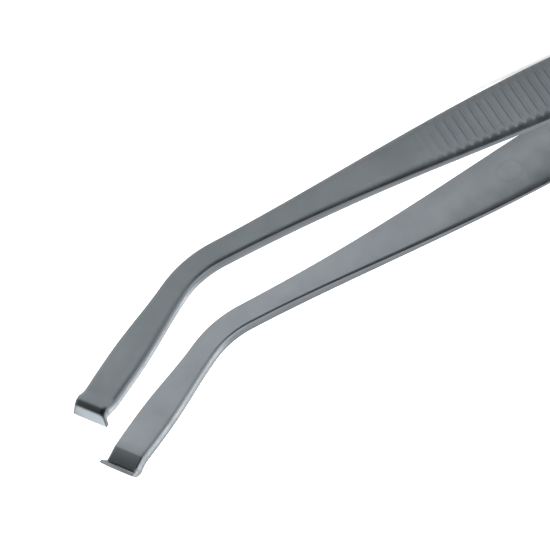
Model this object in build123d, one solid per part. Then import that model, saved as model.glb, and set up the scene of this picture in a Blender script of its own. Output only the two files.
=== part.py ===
from build123d import *
import math
import os

# Print tongs: two sprung steel arms, mirror images of each other, welded together at
# the heel. Each arm broadens from the heel into a ribbed grip, narrows to a neck, turns
# edgewise, and ends in a blade with an inturned lip.
#
# While the tongs are built, +X runs from the bend to the heel, Y is across the arms'
# faces and Z = 0 is the plane midway between the arms. The finished tongs lie on the
# edges of both arms with their blades turned up, the left arm at -Y and the right arm
# at +Y, and the origin is at the middle of their footprint.
#
# An arm is one strip of steel that flexes behind the grip. It is modelled as a fixed
# stretch, the leaf, which belongs to the heel, and a moving stretch, the arm, which
# turns about the flex line. A hairline gap parts the two.

# ---------------------------------------------------------------- driving sizes (mm)
SHANK_LENGTH = 124.0        # from the end of the bend to the end of the heel
BLADE_LENGTH = 25.0         # from the bend to the front of the lip
BEND_ANGLE = 33.0           # edgewise turn of the blade, degrees
BEND_RADIUS = 16.0          # of the arm's centreline

NECK_WIDTH = 4.4
SHOULDER_WIDTH = 7.3        # where the neck has half opened out into the grip
GRIP_WIDTH = 12.2           # at its broadest
SPRING_WIDTH = 8.6          # of the plain strip behind the grip
HEEL_WIDTH = 8.0
HEEL_CORNER = 3.4           # radius that rounds off the end of the heel
BLADE_WIDTH = 5.8           # at its broadest
TIP_WIDTH = 5.6             # of the blade where the lip turns in
LIP_WIDTH = 6.6             # of the lip's edge, spread wider than the blade

SHOULDER_PLACE = 27.5       # from the end of the bend
GRIP_PLACE = 68.0           # of the grip's broadest part, from the end of the bend
BLADE_PLACE = 12.0          # of the blade's broadest part, ahead of the bend
SPRING_SETBACK = 24.0       # from the plain strip's narrowest part to the heel's end
FLEX_SETBACK = 17.0         # from the line that the arm flexes about to the heel's end

BLADE_THICKNESS = 2.1
SHOULDER_THICKNESS = 1.75
GRIP_THICKNESS = 1.45
SPRING_THICKNESS = 1.1
LIP_THICKNESS = 0.65        # of the lip's edge, measured along the blade

BEND_OPENING = 15.0         # clear gap between the two arms at the bend
SHOULDER_OPENING = 15.3     # the same, halfway along the shoulder
GRIP_OPENING = 10.9         # the same, at the grip's broadest part
SPRING_OPENING = 3.4        # the same, where the plain strip is narrowest
HEEL_CONTACT = 9.0          # length over which the two arms lie against each other

BLADE_TAPER = 0.6           # how far the blade leans in before its lip
LIP_FLARE = 1.0             # how far it then leans out again, to the corner of the lip
LIP_FLARE_LENGTH = 2.6
LIP_DEPTH = 3.1             # how far the lip then turns in, from that corner to its edge
LIP_LEAN = 19.0             # of the lip, forward of square, degrees
LIP_ROUND = 1.6             # outside radius of the turn into the lip
HOLLOW_SETBACK = 1.2        # from the lip's edge to the hollow behind the lip
HOLLOW_DEPTH = 0.6          # of the hollow, outward from the lip's edge
HOLLOW_ROUND = 0.4          # radius at its bottom

RIB_COUNT = 28
RIB_PITCH = 1.5
RIB_START = 35.5            # from the end of the bend to the first groove
GROOVE_WIDTH = 0.8
GROOVE_DEPTH = 0.2
GROOVE_MARGIN = 0.9         # plain edge left beside the ends of the grooves

WELD_LENGTH = 7.5           # from the end of the heel
WELD_WIDTH = 0.6            # how far the weld reaches in from the heel's edge
WELD_HEIGHT = 0.8
FLEX_GAP = 0.16             # between the leaf and the arm
CLOSED_GAP = 0.3            # left between the lips at the end of a squeeze

# ---------------------------------------------------------------- sizes worked out
BEND = math.radians(BEND_ANGLE)
SPRING_PLACE = SHANK_LENGTH - SPRING_SETBACK
FLEX_PLACE = SHANK_LENGTH - FLEX_SETBACK
HEEL_START = SHANK_LENGTH - HEEL_CONTACT
INNER = BEND_OPENING / 2                    # height of the inner face at the bend
OUTER = INNER + BLADE_THICKNESS
ABOVE = OUTER + LIP_FLARE + 1               # clear of the whole arm
BESIDE = GRIP_WIDTH + BLADE_LENGTH          # clear of the arm to either side
LIP_TOP = OUTER - BLADE_TAPER + LIP_FLARE
LIP_END = LIP_TOP - LIP_DEPTH
LIP_BACK = -BLADE_LENGTH + math.tan(math.radians(LIP_LEAN)) * LIP_DEPTH


# ---------------------------------------------------------------- outlines
def outline(stations):
    """A face drawn from above, the same either side of X, through (place, width) pairs."""
    edge = Spline(*[(x, width / 2) for x, width in stations], tangents=[(1, 0), (1, 0)])
    other = mirror(edge, about=Plane.XZ)
    return make_face([edge, other, Line(edge @ 0, other @ 0), Line(edge @ 1, other @ 1)])


def shank_outline(margin=0):
    """The shank from above, up to the rounded heel, drawn a margin inside its edges."""
    face = outline([
        (0, NECK_WIDTH - 2 * margin),
        (SHOULDER_PLACE, SHOULDER_WIDTH - 2 * margin),
        (GRIP_PLACE, GRIP_WIDTH - 2 * margin),
        (SPRING_PLACE, SPRING_WIDTH - 2 * margin),
        (SHANK_LENGTH - margin, HEEL_WIDTH - 2 * margin),
    ])
    corners = face.vertices().sort_by(Axis.X)[-2:]
    return fillet(corners, min(HEEL_CORNER, 0.45 * HEEL_WIDTH) - margin)


def bend_outline():
    """The bend from above: a sector of a flat ring, turning the arm edgewise."""
    centre = (0, -BEND_RADIUS)
    convex = CenterArc(centre, BEND_RADIUS + NECK_WIDTH / 2, 90, BEND_ANGLE)
    concave = CenterArc(centre, BEND_RADIUS - NECK_WIDTH / 2, 90, BEND_ANGLE)
    ends = [Line(convex @ 0, concave @ 0), Line(convex @ 1, concave @ 1)]
    return make_face([convex, concave, *ends])


def blade_outline():
    """The blade from above, in its own frame: the bend is at 0 and the lip is at -X."""
    return outline([
        (-BLADE_LENGTH, TIP_WIDTH),
        (-BLADE_PLACE, BLADE_WIDTH),
        (0, NECK_WIDTH),
    ])


# ---------------------------------------------------------------- side views
def shank_edges():
    """The shank's inner and outer faces from the side, up to where the heel is flat."""
    stations = [
        (0, BEND_OPENING, BLADE_THICKNESS),
        (SHOULDER_PLACE, SHOULDER_OPENING, SHOULDER_THICKNESS),
        (GRIP_PLACE, GRIP_OPENING, GRIP_THICKNESS),
        (SPRING_PLACE, SPRING_OPENING, SPRING_THICKNESS),
        (HEEL_START, 0, SPRING_THICKNESS),
    ]
    flat_ends = [(1, 0), (1, 0)]
    inner = Spline(*[(x, gap / 2) for x, gap, _ in stations], tangents=flat_ends)
    outer = Spline(*[(x, gap / 2 + thick) for x, gap, thick in stations], tangents=flat_ends)
    return inner, outer


def height_on(edge, x):
    """Height of an edge of the side view at a place along the arm."""
    low, high = 0.0, 1.0
    for _ in range(40):
        middle = (low + high) / 2
        if (edge @ middle).X < x:
            low = middle
        else:
            high = middle
    return (edge @ low).Y


def shank_side():
    """The shank from the side: a strip that bows away from its partner."""
    inner, outer = shank_edges()
    heel = Polyline(inner @ 1, (SHANK_LENGTH, 0), (SHANK_LENGTH, SPRING_THICKNESS), outer @ 1)
    return make_face([inner, outer, heel, Line(inner @ 0, outer @ 0)])


def blade_side():
    """The blade from the side: it leans in, flares out, and turns in to the lip."""
    flare = LIP_BACK + LIP_FLARE_LENGTH
    corner = (LIP_BACK, LIP_TOP)
    hollow = (-BLADE_LENGTH + HOLLOW_SETBACK, LIP_END + HOLLOW_DEPTH)
    face = make_face(Polyline(
        (0, OUTER),
        (flare, OUTER - BLADE_TAPER),
        corner,
        (-BLADE_LENGTH, LIP_END),
        (-BLADE_LENGTH + LIP_THICKNESS, LIP_END),
        hollow,
        (flare, INNER - BLADE_TAPER),
        (0, INNER),
        close=True,
    ))
    face = fillet([face.vertices().sort_by_distance(corner)[0]], LIP_ROUND)
    return fillet([face.vertices().sort_by_distance(hollow)[0]], HOLLOW_ROUND)


def lip_block():
    """A block around the lip, with the lip's outline from the front: wider at its edge."""
    top = TIP_WIDTH / 2
    edge = LIP_WIDTH / 2
    front = make_face(Polyline(
        (-edge, LIP_END), (edge, LIP_END), (top, LIP_TOP), (-top, LIP_TOP), close=True,
    ))
    start = Plane(origin=(-BLADE_LENGTH, 0, 0), x_dir=(0, 1, 0), z_dir=(1, 0, 0))
    return extrude(start * front, LIP_BACK + BLADE_LENGTH + LIP_THICKNESS)


def from_side(face):
    """A prism of a side view, right across the arm."""
    return extrude(Plane.XZ * face, BESIDE, both=True)


# ---------------------------------------------------------------- one arm
def in_front(solid, x):
    return split(solid, bisect_by=Plane(origin=(x, 0, 0), z_dir=(-1, 0, 0)), keep=Keep.TOP)


def behind(solid, x):
    return split(solid, bisect_by=Plane(origin=(x, 0, 0), z_dir=(1, 0, 0)), keep=Keep.TOP)


def grooves():
    """The round-bottomed grooves that leave the grip's ribs between them."""
    outer = shank_edges()[1]
    radius = (GROOVE_WIDTH ** 2 / 4 + GROOVE_DEPTH ** 2) / (2 * GROOVE_DEPTH)
    places = [RIB_START + i * RIB_PITCH for i in range(RIB_COUNT)]
    bars = [
        Plane.XZ * Pos(x, height_on(outer, x) - GROOVE_DEPTH + radius) * Circle(radius)
        for x in places
    ]
    bars = [extrude(bar, BESIDE, both=True) for bar in bars]
    inside = extrude(shank_outline(GROOVE_MARGIN), ABOVE)
    return [bar & inside for bar in bars]


def whole_arm():
    """The whole strip above the mid-plane, from the lip to the end of the heel."""
    shank = extrude(shank_outline(), ABOVE) & from_side(shank_side())
    bend = Pos(0, 0, INNER) * extrude(bend_outline(), BLADE_THICKNESS)
    blade = (extrude(blade_outline(), ABOVE) + lip_block()) & from_side(blade_side())
    bend_end = Pos(-BEND_RADIUS * math.sin(BEND), -BEND_RADIUS * (1 - math.cos(BEND)), 0)
    blade = bend_end * Rot(0, 0, BEND_ANGLE) * blade
    return shank - grooves() + bend + blade


def weld():
    """The weld run round the heel, let into a rebate along the joint of the two arms."""
    rim = shank_outline() - shank_outline(WELD_WIDTH)
    rim = extrude(rim, WELD_HEIGHT / 2, both=True)
    return behind(rim, SHANK_LENGTH - WELD_LENGTH)


# ---------------------------------------------------------------- motion
def flex_height():
    inner, outer = shank_edges()
    return (height_on(inner, FLEX_PLACE) + height_on(outer, FLEX_PLACE)) / 2


def closing_angle(arm):
    """How far the arm turns before its lip is half the closed gap from the mid-plane."""
    pivot = flex_height()
    turns = []
    for corner in arm.vertices():
        ahead = FLEX_PLACE - corner.X
        over = corner.Z - pivot
        if ahead > SPRING_WIDTH:
            reach = math.hypot(ahead, over)
            lowest = math.acos((CLOSED_GAP / 2 - pivot) / reach)
            turns.append(lowest - math.atan2(ahead, over))
    return math.degrees(min(turns))


# ---------------------------------------------------------------- assembly
strip = whole_arm()
right_arm = in_front(strip, FLEX_PLACE - FLEX_GAP / 2)
right_leaf = behind(strip, FLEX_PLACE + FLEX_GAP / 2) - weld()
nodes = {
    "right_arm": right_arm,
    "left_arm": mirror(right_arm, about=Plane.XY),
    "right_leaf": right_leaf,
    "left_leaf": mirror(right_leaf, about=Plane.XY),
    "heel_weld": weld(),
}

on_edge = Rot(-90, 0, 0)
box = Compound([on_edge * shape.solid() for shape in nodes.values()]).bounding_box()
middle = Pos(-(box.min.X + box.max.X) / 2, -(box.min.Y + box.max.Y) / 2, -box.min.Z)
laid = middle * on_edge
os.makedirs("parts", exist_ok=True)
for name, shape in nodes.items():
    export_step(laid * shape.solid(), f"parts/{name}.step")

mid_bend = Pos(0, -BEND_RADIUS, 0) * Rot(0, 0, BEND_ANGLE / 2) * Pos(0, BEND_RADIUS, 0)
print("end of the bend, on the mid-plane:", laid.position)
print("flex line, right arm:", (laid * Pos(FLEX_PLACE, 0, flex_height())).position)
print("flex line, left arm:", (laid * Pos(FLEX_PLACE, 0, -flex_height())).position)
print("left arm's outer face at the bend:", (laid * mid_bend * Pos(0, 0, -OUTER)).position)
print("closing angle:", round(closing_angle(right_arm), 3))
print("box:", box.size)
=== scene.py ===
"""Print tongs: two sprung steel arms, mirror images of each other, welded at the heel.

Each arm is one strip of satin steel. It is drawn here as it is made: from the heel it
broadens into a ribbed grip, narrows to a neck, turns edgewise, and ends in a blade with
an inturned lip. Lengths are in millimetres until to_row() puts a point in the row frame.
"""
import math

import bmesh
import bpy
import numpy as np
from mathutils import Matrix, Vector


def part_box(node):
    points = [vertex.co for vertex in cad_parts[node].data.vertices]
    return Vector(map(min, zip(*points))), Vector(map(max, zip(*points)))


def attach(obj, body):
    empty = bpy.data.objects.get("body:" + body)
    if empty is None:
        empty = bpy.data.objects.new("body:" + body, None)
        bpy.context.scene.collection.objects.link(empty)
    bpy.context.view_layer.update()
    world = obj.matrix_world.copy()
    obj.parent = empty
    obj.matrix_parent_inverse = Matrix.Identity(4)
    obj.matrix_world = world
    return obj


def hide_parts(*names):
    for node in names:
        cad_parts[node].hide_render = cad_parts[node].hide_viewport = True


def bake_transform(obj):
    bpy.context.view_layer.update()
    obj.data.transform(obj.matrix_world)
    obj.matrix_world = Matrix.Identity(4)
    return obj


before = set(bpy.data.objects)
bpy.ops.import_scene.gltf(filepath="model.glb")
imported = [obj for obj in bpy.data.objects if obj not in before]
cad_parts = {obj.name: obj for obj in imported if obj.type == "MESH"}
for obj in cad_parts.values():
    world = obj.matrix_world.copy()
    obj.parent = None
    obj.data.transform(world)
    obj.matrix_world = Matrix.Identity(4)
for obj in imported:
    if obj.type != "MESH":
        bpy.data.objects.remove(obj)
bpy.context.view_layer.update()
MM = 0.001

# ------------------------------------------------------------------ sizes of an arm (mm)
SHANK_LENGTH = 124.0
BLADE_LENGTH = 25.0
BEND_ANGLE = math.radians(33.0)
BEND_RADIUS = 16.0

NECK_WIDTH = 4.4
SHOULDER_WIDTH = 7.3
GRIP_WIDTH = 12.2
SPRING_WIDTH = 8.6
HEEL_WIDTH = 8.0
HEEL_CORNER = 3.4
BLADE_WIDTH = 5.8
TIP_WIDTH = 5.6
LIP_WIDTH = 6.6

SHOULDER_PLACE = 27.5
GRIP_PLACE = 68.0
SPRING_SETBACK = 24.0       # of the spring stretch's thin part, from the end of the heel
SPRING_PLACE = SHANK_LENGTH - SPRING_SETBACK
BLADE_PLACE = 12.0
HEEL_CONTACT = 9.0

BLADE_THICKNESS = 2.1
SHOULDER_THICKNESS = 1.75
GRIP_THICKNESS = 1.45
SPRING_THICKNESS = 1.1
LIP_THICKNESS = 0.65        # of the lip's edge, measured along the blade

BEND_OPENING = 15.0
SHOULDER_OPENING = 15.3
GRIP_OPENING = 10.9
SPRING_OPENING = 3.4
CONTACT_GAP = 0.02          # between the two arms where they lie together

BLADE_TAPER = 0.6
LIP_FLARE = 1.0
LIP_FLARE_LENGTH = 2.6
LIP_DEPTH = 3.1
LIP_LEAN = math.radians(19.0)
LIP_ROUND = 1.6
HOLLOW_SETBACK = 1.2        # from the lip's edge to the hollow behind the lip
HOLLOW_DEPTH = 0.6
HOLLOW_ROUND = 0.4
FLARE_ROUND = 2.4           # radius of the turn where the flare starts

RIB_COUNT = 28
RIB_PITCH = 1.5
RIB_START = 35.5
GROOVE_DEPTH = 0.30
GROOVE_SHARE = 0.75         # of the pitch that is groove rather than rib
FADE_COUNT = 5              # ribs at either end that rise to full height
FADE_FIRST = 0.3            # how far along that rise it starts
GROOVE_BLEND = 0.06         # width of the soft border between a groove and a rolled edge

# Each face rolls over into the edges: how far in from the edge, and how deep.
ROLL_NECK = (0.95, 0.36)
ROLL_SHOULDER = (1.7, 0.55)
ROLL_GRIP = (2.0, 1.0)
ROLL_SPRING = (1.2, 0.5)
ROLL_HEEL = (0.4, 0.3)
INNER_NECK = (0.35, 0.25)
INNER_SHOULDER = (0.6, 0.20)
INNER_GRIP = (1.4, 0.12)
INNER_SPRING = (0.6, 0.25)
INNER_HEEL = (0.3, 0.25)
CROWN = 0.07                # of the outer face, across the strip
ROLL_POWER = 1.5            # 2 would be a quarter of an ellipse, 1 a straight bevel
MOST_DROP = 0.85            # share of the thickness that the outer roll may take
EDGE_LAND = 0.02            # least flat edge between the outer and the inner roll
LIP_CRISP = 0.75            # share of both rolls that is gone at the lip's edge
SPREAD_POWER = 1.5          # how late the lip spreads to its full width
# Slopes of the lip's outer face, in degrees, at which the painted dark reflection starts, is
# full, begins to fade, and ends.
CREST_DARK_REFLECTION = (8, 26, 50, 62)
HOLLOW_DARK_REFLECTION = 2.6           # over which the painted dark reflection sets in where the flare starts
EDGE_DARK_REFLECTION = 0.5             # share of that painted dark reflection on the lip's edge
DARK_REFLECTION_BORDER = 0.5             # border along each side over which the painted dark reflection fades out to plain steel
WELD_BEVEL = 0.42           # of the inner edges where they are ground for the weld
WELD_LENGTH = 7.5
GRIND_RUN = 1.0             # over which that bevel begins

FACE_POINTS = 25            # across each face of a section
CORNER_POINTS = 9           # round each of its corners
RIB_STEPS = 12              # sections to each rib
HEEL_STEPS = 16             # sections in the rounded end of the heel
WELD_STEPS = 10
SPRING_STEPS = 34
NECK_STEPS = 36
BEND_STEPS = 16
BLADE_STEPS = (13, 8, 5, 14, 10)    # blade, turn, flare, crest, lip
SHARP_ANGLE = math.radians(50)      # edges steeper than this stay crisp in the shading

INNER = BEND_OPENING / 2
OUTER = INNER + BLADE_THICKNESS
LIP_TOP = OUTER - BLADE_TAPER + LIP_FLARE
LIP_END = LIP_TOP - LIP_DEPTH
LIP_BACK = -BLADE_LENGTH + math.tan(LIP_LEAN) * LIP_DEPTH

leaf_low, leaf_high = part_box("right_leaf")
SHIFT_X = leaf_high.x / MM - SHANK_LENGTH
BASE_Z = (leaf_low.z + leaf_high.z) / 2 / MM


def to_row(x, y, z, side):
    """A point of the upright drawing, laid on edge: side is +1 for the right arm."""
    return Vector(((x + SHIFT_X) * MM, side * z * MM, (BASE_Z - y) * MM))


# ------------------------------------------------------------------ curves
def smooth_curve(stations):
    """A cubic spline through (place, value) pairs that runs level at both ends."""
    xs = np.array([place for place, _ in stations], float)
    ys = np.array([value for _, value in stations], float)
    gaps = np.diff(xs)
    rises = np.diff(ys) / gaps
    count = len(xs)
    system = np.eye(count)
    known = np.zeros(count)
    for i in range(1, count - 1):
        system[i, i - 1:i + 2] = gaps[i], 2 * (gaps[i - 1] + gaps[i]), gaps[i - 1]
        known[i] = 3 * (gaps[i] * rises[i - 1] + gaps[i - 1] * rises[i])
    slopes = np.linalg.solve(system, known)

    def value(x):
        i = int(min(max(np.searchsorted(xs, x) - 1, 0), count - 2))
        t = min(max((x - xs[i]) / gaps[i], 0.0), 1.0)
        keep = 1 - t
        bulge = keep * (slopes[i] - rises[i]) - t * (slopes[i + 1] - rises[i])
        return keep * ys[i] + t * ys[i + 1] + gaps[i] * t * keep * bulge

    return value


def smoothstep(t):
    t = min(max(t, 0.0), 1.0)
    return t * t * (3 - 2 * t)


def rounded_path(corners, radii, counts):
    """Points along a polyline whose inner corners are rounded, counts[k] to each piece.

    Each piece leaves out its first point, which is the last one of the piece before it.
    """
    start = np.array(corners[0], float)
    pieces = []
    for i in range(1, len(corners) - 1):
        corner = np.array(corners[i], float)
        back = np.array(corners[i - 1], float) - corner
        on = np.array(corners[i + 1], float) - corner
        back /= np.linalg.norm(back)
        on /= np.linalg.norm(on)
        half = math.acos(np.clip(back @ on, -1, 1)) / 2
        reach = radii[i - 1] / math.tan(half)
        middle = corner + (back + on) / np.linalg.norm(back + on) * radii[i - 1] / math.sin(half)
        entry = corner + back * reach
        leave = corner + on * reach
        sweep = np.linspace(0, 1, counts[2 * i - 2] + 1)[1:]
        pieces.append([start + (entry - start) * t for t in sweep])
        sweep = np.linspace(0, 1, counts[2 * i - 1] + 1)[1:]
        first, last = entry - middle, leave - middle
        span = math.pi - 2 * half
        arc = [(math.sin((1 - t) * span) * first + math.sin(t * span) * last) / math.sin(span)
               for t in sweep]
        pieces.append([middle + a for a in arc])
        start = leave
    end = np.array(corners[-1], float)
    sweep = np.linspace(0, 1, counts[-1] + 1)[1:]
    pieces.append([start + (end - start) * t for t in sweep])
    return [point for piece in pieces for point in piece]


shank_half = smooth_curve([
    (0, NECK_WIDTH / 2), (SHOULDER_PLACE, SHOULDER_WIDTH / 2), (GRIP_PLACE, GRIP_WIDTH / 2),
    (SPRING_PLACE, SPRING_WIDTH / 2), (SHANK_LENGTH, HEEL_WIDTH / 2),
])
blade_half = smooth_curve([
    (0, NECK_WIDTH / 2), (BLADE_PLACE, BLADE_WIDTH / 2), (BLADE_LENGTH, TIP_WIDTH / 2),
])
inner_height = smooth_curve([
    (0, BEND_OPENING / 2), (SHOULDER_PLACE, SHOULDER_OPENING / 2),
    (GRIP_PLACE, GRIP_OPENING / 2), (SPRING_PLACE, SPRING_OPENING / 2),
    (SHANK_LENGTH - HEEL_CONTACT, CONTACT_GAP / 2),
])
outer_height = smooth_curve([
    (0, BEND_OPENING / 2 + BLADE_THICKNESS),
    (SHOULDER_PLACE, SHOULDER_OPENING / 2 + SHOULDER_THICKNESS),
    (GRIP_PLACE, GRIP_OPENING / 2 + GRIP_THICKNESS),
    (SPRING_PLACE, SPRING_OPENING / 2 + SPRING_THICKNESS),
    (SHANK_LENGTH - HEEL_CONTACT, SPRING_THICKNESS),
])


def roll_curves(neck, shoulder, grip, spring, heel):
    """The reach and the drop of a rolled edge, as curves along the shank."""
    return [smooth_curve([
        (0, neck[k]), (SHOULDER_PLACE, shoulder[k]), (GRIP_PLACE, grip[k]),
        (SPRING_PLACE, spring[k]), (SHANK_LENGTH, heel[k]),
    ]) for k in (0, 1)]


roll_in, roll_down = roll_curves(ROLL_NECK, ROLL_SHOULDER, ROLL_GRIP, ROLL_SPRING, ROLL_HEEL)
inner_in, inner_down = roll_curves(
    INNER_NECK, INNER_SHOULDER, INNER_GRIP, INNER_SPRING, INNER_HEEL)


def groove_depth(x):
    """Depth of the grip's grooves at a place along the shank, fading in at both ends."""
    along = (x - RIB_START) / RIB_PITCH
    nearest = round(along)
    if nearest < 0 or nearest > RIB_COUNT - 1:
        return 0.0
    off = abs(along - nearest) / (GROOVE_SHARE / 2)
    if off >= 1:
        return 0.0
    from_end = min(nearest, RIB_COUNT - 1 - nearest) + 1
    full = GROOVE_DEPTH * smoothstep(FADE_FIRST + (1 - FADE_FIRST) * from_end / FADE_COUNT)
    return full * (0.5 + 0.5 * math.cos(math.pi * off))


def heel_half(x):
    """Half the shank's width, rounded off at the end of the heel."""
    half = shank_half(x)
    over = x - (SHANK_LENGTH - HEEL_CORNER)
    if over <= 0:
        return half
    flat = HEEL_WIDTH / 2 - HEEL_CORNER
    return min(half, flat + math.sqrt(max(HEEL_CORNER ** 2 - over ** 2, 0.0)))


def from_edge(x, y):
    """How far a point of the shank is in from its edge, seen from above."""
    flat = HEEL_WIDTH / 2 - HEEL_CORNER
    over = x - (SHANK_LENGTH - HEEL_CORNER)
    if over <= 0:
        return shank_half(x) - abs(y)
    if abs(y) <= flat:
        return SHANK_LENGTH - x
    return HEEL_CORNER - math.hypot(over, abs(y) - flat)


# ------------------------------------------------------------------ sections
def quarter(distance, reach, drop):
    """How far a rolled edge has dropped at a distance in from the edge."""
    t = 1 - min(max(distance / reach, 0.0), 1.0)
    return drop * (1 - max(1 - t ** ROLL_POWER, 0.0) ** (1 / ROLL_POWER))


def soft_deeper(a, b):
    """The deeper of two depths, with a small blend where they meet."""
    return 0.5 * (a + b + math.sqrt((a - b) ** 2 + GROOVE_BLEND ** 2) - GROOVE_BLEND)


def across(half, reach):
    """Places across one face, closer together where its edges roll over."""
    reach = min(reach, 0.48 * 2 * half)
    turn = [half - reach + reach * math.sin(a)
            for a in np.linspace(0, math.pi / 2, CORNER_POINTS)]
    face = list(np.linspace(-(half - reach), half - reach, FACE_POINTS))
    return [-y for y in reversed(turn[1:])] + face + turn[1:]


def section(half, thick, roll, inner_roll, groove, distance):
    """(across, depth, kind) round a section; kind is 0 outer face, 1 inner face.

    distance(y) says how far in from the edge a point is, seen from above.
    """
    reach, drop = roll
    inner_reach, lift = inner_roll
    drop = min(drop, MOST_DROP * thick)
    lift = min(lift, thick - drop - CROWN - EDGE_LAND)
    ring = []
    for y in across(half, reach):
        depth = quarter(distance(y), reach, drop) + CROWN * (y / half) ** 2
        ring.append((y, soft_deeper(depth, groove), 0.0))
    for y in reversed(across(half, inner_reach)):
        ring.append((y, thick - quarter(distance(y), inner_reach, lift), 1.0))
    return ring


def shank_places():
    """Where the shank's sections go, from the end of the heel to the bend."""
    rib_first = RIB_START - RIB_PITCH
    rib_last = RIB_START + RIB_COUNT * RIB_PITCH
    turn = [SHANK_LENGTH - HEEL_CORNER + HEEL_CORNER * math.sin(a)
            for a in np.linspace(math.pi / 2, 0, HEEL_STEPS)]
    weld = list(np.linspace(SHANK_LENGTH - HEEL_CORNER, SHANK_LENGTH - WELD_LENGTH, WELD_STEPS))
    spring = list(np.linspace(SHANK_LENGTH - WELD_LENGTH, rib_last, SPRING_STEPS))
    ribs = list(np.linspace(rib_last, rib_first, (RIB_COUNT + 1) * RIB_STEPS + 1))
    neck = list(np.linspace(rib_first, 0, NECK_STEPS))
    return turn + weld[1:] + spring[1:] + ribs[1:] + neck[1:]


def shank_sections():
    """Rows of (x, y, z, kind, painted_dark) round the strip, from the heel to the bend."""
    rows = []
    for x in shank_places():
        low, high = inner_height(x), outer_height(x)
        near_weld = smoothstep((x - SHANK_LENGTH + WELD_LENGTH + GRIND_RUN) / GRIND_RUN)
        ring = section(
            heel_half(x), high - low, (roll_in(x), roll_down(x)),
            [roll + (WELD_BEVEL - roll) * near_weld for roll in (inner_in(x), inner_down(x))],
            groove_depth(x), lambda y: from_edge(x, y),
        )
        rows.append([(x, y, high - depth, kind, 0.0) for y, depth, kind in ring])
    return rows


def bend_sections():
    """The neck, turned edgewise about a line across the strip."""
    half = NECK_WIDTH / 2
    ring = section(half, BLADE_THICKNESS, ROLL_NECK, INNER_NECK, 0.0, lambda y: half - abs(y))
    rows = []
    for turn in np.linspace(0, BEND_ANGLE, BEND_STEPS)[1:]:
        row = []
        for y, depth, kind in ring:
            radius = BEND_RADIUS + y
            row.append((-radius * math.sin(turn), radius * math.cos(turn) - BEND_RADIUS,
                        OUTER - depth, kind, 0.0))
        rows.append(row)
    return rows


def lip_half(height, ahead):
    """Half the blade's width, spread towards the edge of the lip."""
    half = blade_half(ahead)
    spread = min(max((LIP_TOP - height) / LIP_DEPTH, 0.0), 1.0)
    return half + (LIP_WIDTH - TIP_WIDTH) / 2 * spread ** SPREAD_POWER


def slopes(path):
    """How steeply a path falls towards the lip at each of its points, in degrees."""
    path = np.array(path)
    rises = np.gradient(path[:, 1])
    runs = -np.gradient(path[:, 0])
    return np.degrees(np.arctan2(-rises, runs))


def between(value, start, full, fading, end):
    """1 from full to fading, and 0 before start and after end."""
    rise = smoothstep((value - start) / (full - start))
    return rise * (1 - smoothstep((value - fading) / (end - fading)))


def blade_sections():
    """The blade and its lip, in step along the outer and the inner face."""
    flare = LIP_BACK + LIP_FLARE_LENGTH
    outer = rounded_path(
        [(0, OUTER), (flare, OUTER - BLADE_TAPER), (LIP_BACK, LIP_TOP), (-BLADE_LENGTH, LIP_END)],
        (FLARE_ROUND, LIP_ROUND), BLADE_STEPS)
    inner = rounded_path(
        [(0, INNER), (flare, INNER - BLADE_TAPER),
         (-BLADE_LENGTH + HOLLOW_SETBACK, LIP_END + HOLLOW_DEPTH),
         (-BLADE_LENGTH + LIP_THICKNESS, LIP_END)],
        (FLARE_ROUND / 2, HOLLOW_ROUND), BLADE_STEPS)
    cos, sin = math.cos(BEND_ANGLE), math.sin(BEND_ANGLE)
    rows = []
    for i, (top, bottom, fall) in enumerate(zip(outer, inner, slopes(outer))):
        thick = float(np.linalg.norm(top - bottom))
        towards = (bottom - top) / thick
        past_crest = i >= sum(BLADE_STEPS[:3])
        height = top[1] if past_crest else LIP_TOP
        half = lip_half(height, -top[0])
        crisp = smoothstep((LIP_TOP - height) / LIP_DEPTH)
        roll, inner_roll = [
            [r * (1 - LIP_CRISP * crisp) for r in rolls] for rolls in (ROLL_NECK, INNER_NECK)]
        ring = section(half, thick, roll, inner_roll, 0.0, lambda y: half - abs(y))
        # Painted dark reflection: a dark base tone on the lip's crest, in the hollow behind it
        # and on its edge.
        painted_dark_outside = between(fall, *CREST_DARK_REFLECTION)
        painted_dark_inside = smoothstep((flare + HOLLOW_DARK_REFLECTION / 2 - top[0]) / HOLLOW_DARK_REFLECTION)
        if i == len(outer) - 1:
            painted_dark_inside = EDGE_DARK_REFLECTION
        row = []
        for y, depth, kind in ring:
            x, z = top + towards * depth
            away = smoothstep((half - abs(y)) / DARK_REFLECTION_BORDER)
            painted_dark = away * (painted_dark_inside if kind else painted_dark_outside)
            row.append((-BEND_RADIUS * sin + x * cos - y * sin,
                        -BEND_RADIUS * (1 - cos) + x * sin + y * cos, z, kind, painted_dark))
        rows.append(row)
    return rows


# ------------------------------------------------------------------ meshes
def new_object(name, mesh, material):
    made = bpy.data.objects.new(name, mesh)
    bpy.context.scene.collection.objects.link(made)
    mesh.materials.append(material)
    return made


def skin(name, rows, material):
    """A closed mesh over rings of points, with a flat face at each end."""
    shape = bmesh.new()
    rings = [[shape.verts.new(point) for point in row] for row in rows]
    around = len(rings[0])
    for one, two in zip(rings, rings[1:]):
        for i in range(around):
            j = (i + 1) % around
            shape.faces.new((one[i], one[j], two[j], two[i]))
    shape.faces.new(rings[0])
    shape.faces.new(rings[-1])
    bmesh.ops.recalc_face_normals(shape, faces=shape.faces[:])
    mesh = bpy.data.meshes.new(name)
    shape.to_mesh(mesh)
    shape.free()
    mesh.shade_smooth()
    mesh.set_sharp_from_angle(angle=SHARP_ANGLE)
    return new_object(name, mesh, material)


def add_values(made, name, values):
    """One number for each point of a mesh, for its material to read."""
    attribute = made.data.attributes.new(name, "FLOAT", "POINT")
    attribute.data.foreach_set("value", np.array(values, np.float32))


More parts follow.
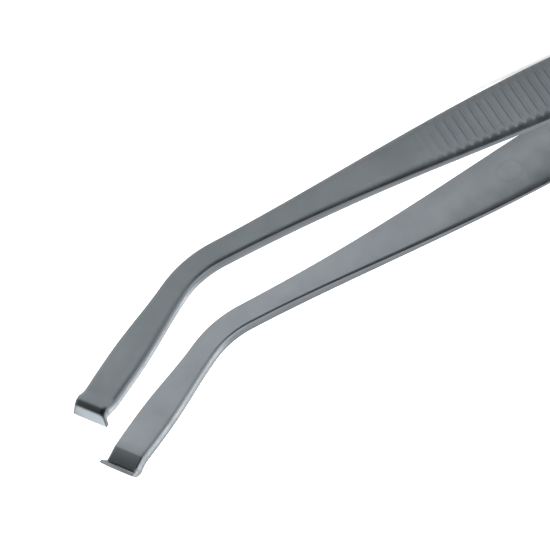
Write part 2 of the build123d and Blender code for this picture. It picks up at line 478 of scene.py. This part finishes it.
def build_arm(name, side, material):
    """One arm as an unbroken strip, with its faces told apart for the material."""
    rows = shank_sections() + bend_sections() + blade_sections()
    points = [[to_row(x, y, z, side) for x, y, z, *_ in row] for row in rows]
    made = skin(name, points, material)
    add_values(made, "inner_face", [kind for row in rows for *_, kind, _ in row])
    # painted_dark: the share of painted dark reflection in the base colour at each point
    add_values(made, "painted_dark", [painted_dark for row in rows for *_, painted_dark in row])
    return made


# ------------------------------------------------------------------ weld bead
BEAD_HALF_HEIGHT = 0.42
BEAD_DEPTH = 0.27
BEAD_SUNK = 0.30            # of the bead's centreline, in from the edge of the heel
BEAD_RIPPLE = 0.035
RIPPLE_PITCH = 0.55
BEAD_SECTIONS = 16          # along each straight side
BEAD_TURN_SECTIONS = 30     # round each corner
BEAD_POINTS = 20            # round each section
BEAD_RUN_IN = 3             # sections over which each end swells to full size
BEAD_FIRST = 0.4            # share of a section that the first one stands in


def heel_rim(inset):
    """Points and outward directions round the end of the heel, a distance inside its edge."""
    start = SHANK_LENGTH - WELD_LENGTH
    corner_x = SHANK_LENGTH - HEEL_CORNER
    corner_y = HEEL_WIDTH / 2 - HEEL_CORNER
    radius = HEEL_CORNER - inset
    rim = [(x, shank_half(x) - inset, 0.0, 1.0)
           for x in np.linspace(start, corner_x, BEAD_SECTIONS)]
    for a in np.linspace(math.pi / 2, 0, BEAD_TURN_SECTIONS)[1:]:
        out = (math.cos(a), math.sin(a))
        rim.append((corner_x + radius * out[0], corner_y + radius * out[1], *out))
    return rim + [(x, -y, dx, -dy) for x, y, dx, dy in reversed(rim)]


def build_weld(material):
    """A rippled bead in the groove between the two arms, round the end of the heel."""
    rim = heel_rim(BEAD_SUNK)
    rows = []
    length = 0.0
    for i, (x, y, dx, dy) in enumerate(rim):
        if i:
            length += math.hypot(x - rim[i - 1][0], y - rim[i - 1][1])
        ripple = BEAD_RIPPLE * abs(math.sin(math.pi * length / RIPPLE_PITCH))
        end = min(i, len(rim) - 1 - i)
        swell = math.sqrt(min((end + BEAD_FIRST) / BEAD_RUN_IN, 1.0))
        row = []
        for a in np.linspace(0, 2 * math.pi, BEAD_POINTS, endpoint=False):
            out = (BEAD_DEPTH - ripple) * swell * math.cos(a)
            up = BEAD_HALF_HEIGHT * swell * math.sin(a)
            row.append(to_row(x + dx * out, y + dy * out, up, 1))
        rows.append(row)
    return skin("weld_bead", rows, material)


# ------------------------------------------------------------------ materials
def node_tree(material):
    tree = material.node_tree
    return tree.nodes, tree.links


def add_noise(nodes, links, coordinates, scale, detail=3.0, roughness=0.5):
    noise = nodes.new("ShaderNodeTexNoise")
    noise.inputs["Scale"].default_value = scale
    noise.inputs["Detail"].default_value = detail
    noise.inputs["Roughness"].default_value = roughness
    links.new(coordinates, noise.inputs["Vector"])
    return noise.outputs["Fac"]


def add_range(nodes, links, value, low, high, start=0.3, stop=0.7):
    """A value moved from start..stop to low..high."""
    ranged = nodes.new("ShaderNodeMapRange")
    ranged.inputs["From Min"].default_value = start
    ranged.inputs["From Max"].default_value = stop
    ranged.inputs["To Min"].default_value = low
    ranged.inputs["To Max"].default_value = high
    links.new(value, ranged.inputs["Value"])
    return ranged.outputs["Result"]


def add_mix(nodes, links, share, one, two):
    mix = nodes.new("ShaderNodeMix")
    mix.data_type = "RGBA"
    links.new(share, mix.inputs["Factor"])
    for socket, colour in (("A", one), ("B", two)):
        target = [s for s in mix.inputs if s.name == socket and s.type == "RGBA"][0]
        if isinstance(colour, bpy.types.NodeSocket):
            links.new(colour, target)
        else:
            target.default_value = (*colour, 1.0)
    return [s for s in mix.outputs if s.type == "RGBA"][0]


def add_bump(nodes, links, height, strength, distance, under=None):
    bump = nodes.new("ShaderNodeBump")
    bump.inputs["Strength"].default_value = strength
    bump.inputs["Distance"].default_value = distance
    links.new(height, bump.inputs["Height"])
    if under is not None:
        links.new(under, bump.inputs["Normal"])
    return bump.outputs["Normal"]


def stretched(nodes, links, coordinates, scale):
    mapping = nodes.new("ShaderNodeMapping")
    mapping.inputs["Scale"].default_value = scale
    links.new(coordinates, mapping.inputs["Vector"])
    return mapping.outputs["Vector"]


STEEL_DARK = (0.087, 0.098, 0.104)
STEEL_LIGHT = (0.103, 0.114, 0.120)
# Painted sheen: the inner faces get a lighter base tone than the outer ones, standing in for the
# brighter reflection they catch.
INNER_SHEEN_DARK = (0.138, 0.150, 0.159)
INNER_SHEEN_LIGHT = (0.160, 0.174, 0.182)
# Base tone of the painted dark reflection on the lips
DARK_REFLECTION_TONE = (0.026, 0.029, 0.029)
STEEL_ROUGHNESS = (0.30, 0.40)
# How many to the metre, and for the two bumps their strength and their height in metres.
CLOUD_SCALE = 140
PATCH_SCALE = 420
GRAIN_SCALE = 9000
GRAIN_BUMP = (0.10, 0.00002)
LINE_SCALE = (260, 5200, 5200)      # drawn out along the strip
LINE_BUMP = (0.06, 0.00003)
# A faint ring on the left arm's inner face, in millimetres along, across and up.
RING_ALONG = 48.3
RING_PLACE = (RING_ALONG, 0.2, inner_height(RING_ALONG))
RING_RADIUS = 2.15
RING_LINE = 0.28
RING_STRENGTH = 0.35
RING_TONE = (0.115, 0.126, 0.134)


def add_ring(nodes, links, coordinates, centre):
    """1 on a faint ring round a point, as left by a punch, and 0 elsewhere."""
    distance = nodes.new("ShaderNodeVectorMath")
    distance.operation = "DISTANCE"
    distance.inputs[1].default_value = centre
    links.new(coordinates, distance.inputs[0])
    off = nodes.new("ShaderNodeMath")
    off.operation = "SUBTRACT"
    off.inputs[1].default_value = RING_RADIUS * MM
    links.new(distance.outputs["Value"], off.inputs[0])
    size = nodes.new("ShaderNodeMath")
    size.operation = "ABSOLUTE"
    links.new(off.outputs["Value"], size.inputs[0])
    return add_range(nodes, links, size.outputs["Value"], RING_STRENGTH, 0, 0, RING_LINE * MM)


def satin_steel(name):
    """Blasted steel: cloudy tone, fine grain, faint lines from the last polish, painted sheen and
    painted dark reflection.
    """
    material = bpy.data.materials.new(name)
    material.use_nodes = True
    nodes, links = node_tree(material)
    shader = nodes["Principled BSDF"]
    shader.inputs["Metallic"].default_value = 1.0
    place = nodes.new("ShaderNodeTexCoord").outputs["Object"]
    clouds = add_noise(nodes, links, place, CLOUD_SCALE, detail=4.0)
    cloud_share = add_range(nodes, links, clouds, 0, 1)
    outside = add_mix(nodes, links, cloud_share, STEEL_DARK, STEEL_LIGHT)
    # Painted sheen: a lighter copy of the steel's tone for the inner faces
    inside = add_mix(nodes, links, cloud_share, INNER_SHEEN_DARK, INNER_SHEEN_LIGHT)
    face = nodes.new("ShaderNodeAttribute")
    face.attribute_name = "inner_face"
    tone = add_mix(nodes, links, face.outputs["Fac"], outside, inside)
    ring = add_ring(nodes, links, place, to_row(*RING_PLACE, -1))
    tone = add_mix(nodes, links, ring, tone, RING_TONE)
    # Painted dark reflection, laid into the base colour on the lips
    painted_dark = nodes.new("ShaderNodeAttribute")
    painted_dark.attribute_name = "painted_dark"
    tone = add_mix(nodes, links, painted_dark.outputs["Fac"], tone, DARK_REFLECTION_TONE)
    links.new(tone, shader.inputs["Base Color"])
    patches = add_noise(nodes, links, place, PATCH_SCALE, detail=2.0)
    links.new(add_range(nodes, links, patches, *STEEL_ROUGHNESS), shader.inputs["Roughness"])
    grain = add_noise(nodes, links, place, GRAIN_SCALE, detail=2.0, roughness=0.6)
    lines = add_noise(nodes, links, stretched(nodes, links, place, LINE_SCALE), 1.0)
    normal = add_bump(nodes, links, grain, *GRAIN_BUMP)
    normal = add_bump(nodes, links, lines, *LINE_BUMP, normal)
    links.new(normal, shader.inputs["Normal"])
    return material


WELD_TONES = ((0.150, 0.148, 0.146), (0.215, 0.205, 0.190))
WELD_TINT_SCALE = 700
WELD_ROUGHNESS = (0.35, 0.55)
WELD_GRAIN_SCALE = 6000
WELD_BUMP = (0.3, 0.00004)


def weld_steel(name):
    """Ground weld metal: duller than the arms, with a trace of heat tint."""
    material = bpy.data.materials.new(name)
    material.use_nodes = True
    nodes, links = node_tree(material)
    shader = nodes["Principled BSDF"]
    shader.inputs["Metallic"].default_value = 1.0
    place = nodes.new("ShaderNodeTexCoord").outputs["Object"]
    tint = add_noise(nodes, links, place, WELD_TINT_SCALE, detail=3.0)
    tone = add_mix(nodes, links, add_range(nodes, links, tint, 0, 1), *WELD_TONES)
    links.new(tone, shader.inputs["Base Color"])
    links.new(add_range(nodes, links, tint, *WELD_ROUGHNESS), shader.inputs["Roughness"])
    grain = add_noise(nodes, links, place, WELD_GRAIN_SCALE, detail=3.0)
    links.new(add_bump(nodes, links, grain, *WELD_BUMP), shader.inputs["Normal"])
    return material


FLOOR_PALE = (0.90, 0.90, 0.90)
FLOOR_MOTTLE = (0.92, 0.92, 0.92)
MOTTLE_SCALE = 6
FLOOR_SHADE = (0.50, 0.505, 0.51)
FLOOR_GLOW = 0.6
SHADE_START = 0.13          # metres towards the camera, where the floor falls into shade
SHADE_FULL = 0.45


def pale_floor(name):
    """White paper round the tongs, falling into shade towards the camera."""
    material = bpy.data.materials.new(name)
    material.use_nodes = True
    nodes, links = node_tree(material)
    shader = nodes["Principled BSDF"]
    place = nodes.new("ShaderNodeTexCoord").outputs["Object"]
    split = nodes.new("ShaderNodeSeparateXYZ")
    links.new(place, split.inputs["Vector"])
    ahead = add_range(nodes, links, split.outputs["Y"], 0, 1, SHADE_START, SHADE_FULL)
    mottle = add_noise(nodes, links, place, MOTTLE_SCALE, detail=3.0)
    paper = add_mix(nodes, links, mottle, FLOOR_PALE, FLOOR_MOTTLE)
    tone = add_mix(nodes, links, ahead, paper, FLOOR_SHADE)
    links.new(tone, shader.inputs["Base Color"])
    links.new(tone, shader.inputs["Emission Color"])
    shader.inputs["Emission Strength"].default_value = FLOOR_GLOW
    shader.inputs["Roughness"].default_value = 0.9
    shader.inputs["Specular IOR Level"].default_value = 0.0
    return material


# ------------------------------------------------------------------ the stage
FLOOR_HALF = 4.0            # metres


def build_floor():
    shape = bmesh.new()
    corners = [(-FLOOR_HALF, -FLOOR_HALF), (FLOOR_HALF, -FLOOR_HALF),
               (FLOOR_HALF, FLOOR_HALF), (-FLOOR_HALF, FLOOR_HALF)]
    shape.faces.new([shape.verts.new((x, y, 0)) for x, y in corners])
    mesh = bpy.data.meshes.new("floor")
    shape.to_mesh(mesh)
    shape.free()
    floor = new_object("floor", mesh, pale_floor("floor_white"))


SKY_BRIGHT = (1.72, 1.74, 1.78)
SKY_DARK = (0.10, 0.105, 0.115)
# Where the dark part of the sky begins and ends, along each axis of a unit direction.
SKY_NEARER = (-0.15, 0.30)
SKY_LOWER = (0.72, 0.95)
SKY_ASIDE = (0.25, 0.60)


def build_world():
    """A soft sky: bright behind the tongs and overhead, dark on the camera's side."""
    world = bpy.data.worlds.new("studio")
    bpy.context.scene.world = world
    world.use_nodes = True
    nodes, links = world.node_tree.nodes, world.node_tree.links
    background = nodes["Background"]
    direction = nodes.new("ShaderNodeTexCoord").outputs["Generated"]
    split = nodes.new("ShaderNodeSeparateXYZ")
    links.new(direction, split.inputs["Vector"])
    nearer = add_range(nodes, links, split.outputs["Y"], 0.0, 1.0, *SKY_NEARER)
    lower = add_range(nodes, links, split.outputs["Z"], 1.0, 0.0, *SKY_LOWER)
    aside = add_range(nodes, links, split.outputs["X"], 1.0, 0.0, *SKY_ASIDE)
    dark = nearer
    for share in (lower, aside):
        product = nodes.new("ShaderNodeMath")
        product.operation = "MULTIPLY"
        links.new(dark, product.inputs[0])
        links.new(share, product.inputs[1])
        dark = product.outputs["Value"]
    tone = add_mix(nodes, links, dark, SKY_BRIGHT, SKY_DARK)
    links.new(tone, background.inputs["Color"])
    background.inputs["Strength"].default_value = 1.0


# Name, place, what it points at, width and height in metres, and power in watts.
SOFTBOXES = (
    ("overhead", (0.55, -0.05, 1.1), (0, 0, 0), (0.8, 0.8), 8.0),
    ("front", (-1.1, -0.42, 0.12), (-0.06, 0, 0.01), (0.7, 0.5), 8.5),
    ("behind", (0.55, -0.80, 0.30), (-0.04, 0, 0.01), (0.25, 0.25), 1.2),
)


def add_softbox(name, place, aim, size, power):
    """A rectangular area light at a place, turned to face a point."""
    data = bpy.data.lights.new(name, "AREA")
    data.shape = "RECTANGLE"
    data.size, data.size_y = size
    data.energy = power
    light = bpy.data.objects.new(name, data)
    bpy.context.scene.collection.objects.link(light)
    light.location = place
    towards = Vector(aim) - Vector(place)
    light.rotation_euler = towards.to_track_quat("-Z", "Y").to_euler()


CAMERA_AIM = Vector((-0.03928, -0.00070, 0.00751))
CAMERA_NUDGE = (-0.00017, -0.00017)      # of the aim, to the picture's right and up
CAMERA_AZIMUTH = math.radians(-175.223)
CAMERA_ELEVATION = math.radians(39.234)
CAMERA_ROLL = math.radians(-149.321)
CAMERA_DISTANCE = 0.5252
CAMERA_LENS = 217.71        # millimetres, as is the sensor
SENSOR_WIDTH = 36.0


def build_camera():
    """A long lens on the right arm's side, above the tongs and rolled over."""
    data = bpy.data.cameras.new("camera")
    data.lens = CAMERA_LENS
    data.sensor_width = SENSOR_WIDTH
    data.clip_start = 0.01
    camera = bpy.data.objects.new("camera", data)
    bpy.context.scene.collection.objects.link(camera)
    back = Vector((
        math.sin(CAMERA_AZIMUTH) * math.cos(CAMERA_ELEVATION),
        -math.cos(CAMERA_AZIMUTH) * math.cos(CAMERA_ELEVATION),
        math.sin(CAMERA_ELEVATION),
    ))
    right = Vector((math.cos(CAMERA_AZIMUTH), math.sin(CAMERA_AZIMUTH), 0))
    up = back.cross(right)
    rolled_up = right * math.sin(CAMERA_ROLL) + up * math.cos(CAMERA_ROLL)
    rolled_right = rolled_up.cross(back)
    turn = Matrix((rolled_right, rolled_up, back)).transposed()
    aim = CAMERA_AIM + rolled_right * CAMERA_NUDGE[0] + rolled_up * CAMERA_NUDGE[1]
    camera.matrix_world = Matrix.LocRotScale(
        aim + back * CAMERA_DISTANCE, turn.to_quaternion(), None)
    bpy.context.scene.camera = camera


def main():
    bpy.context.scene.view_settings.view_transform = "Standard"
    steel = satin_steel("satin_steel")
    for name, side in (("right", 1), ("left", -1)):
        arm = build_arm(f"{name}_strip", side, steel)
        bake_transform(arm)
        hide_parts(f"{name}_arm", f"{name}_leaf")
    bead = build_weld(weld_steel("weld_steel"))
    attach(bead, "heel")
    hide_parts("heel_weld")
    build_floor()
    build_world()
    for softbox in SOFTBOXES:
        add_softbox(*softbox)
    build_camera()
    bpy.context.view_layer.update()


main()
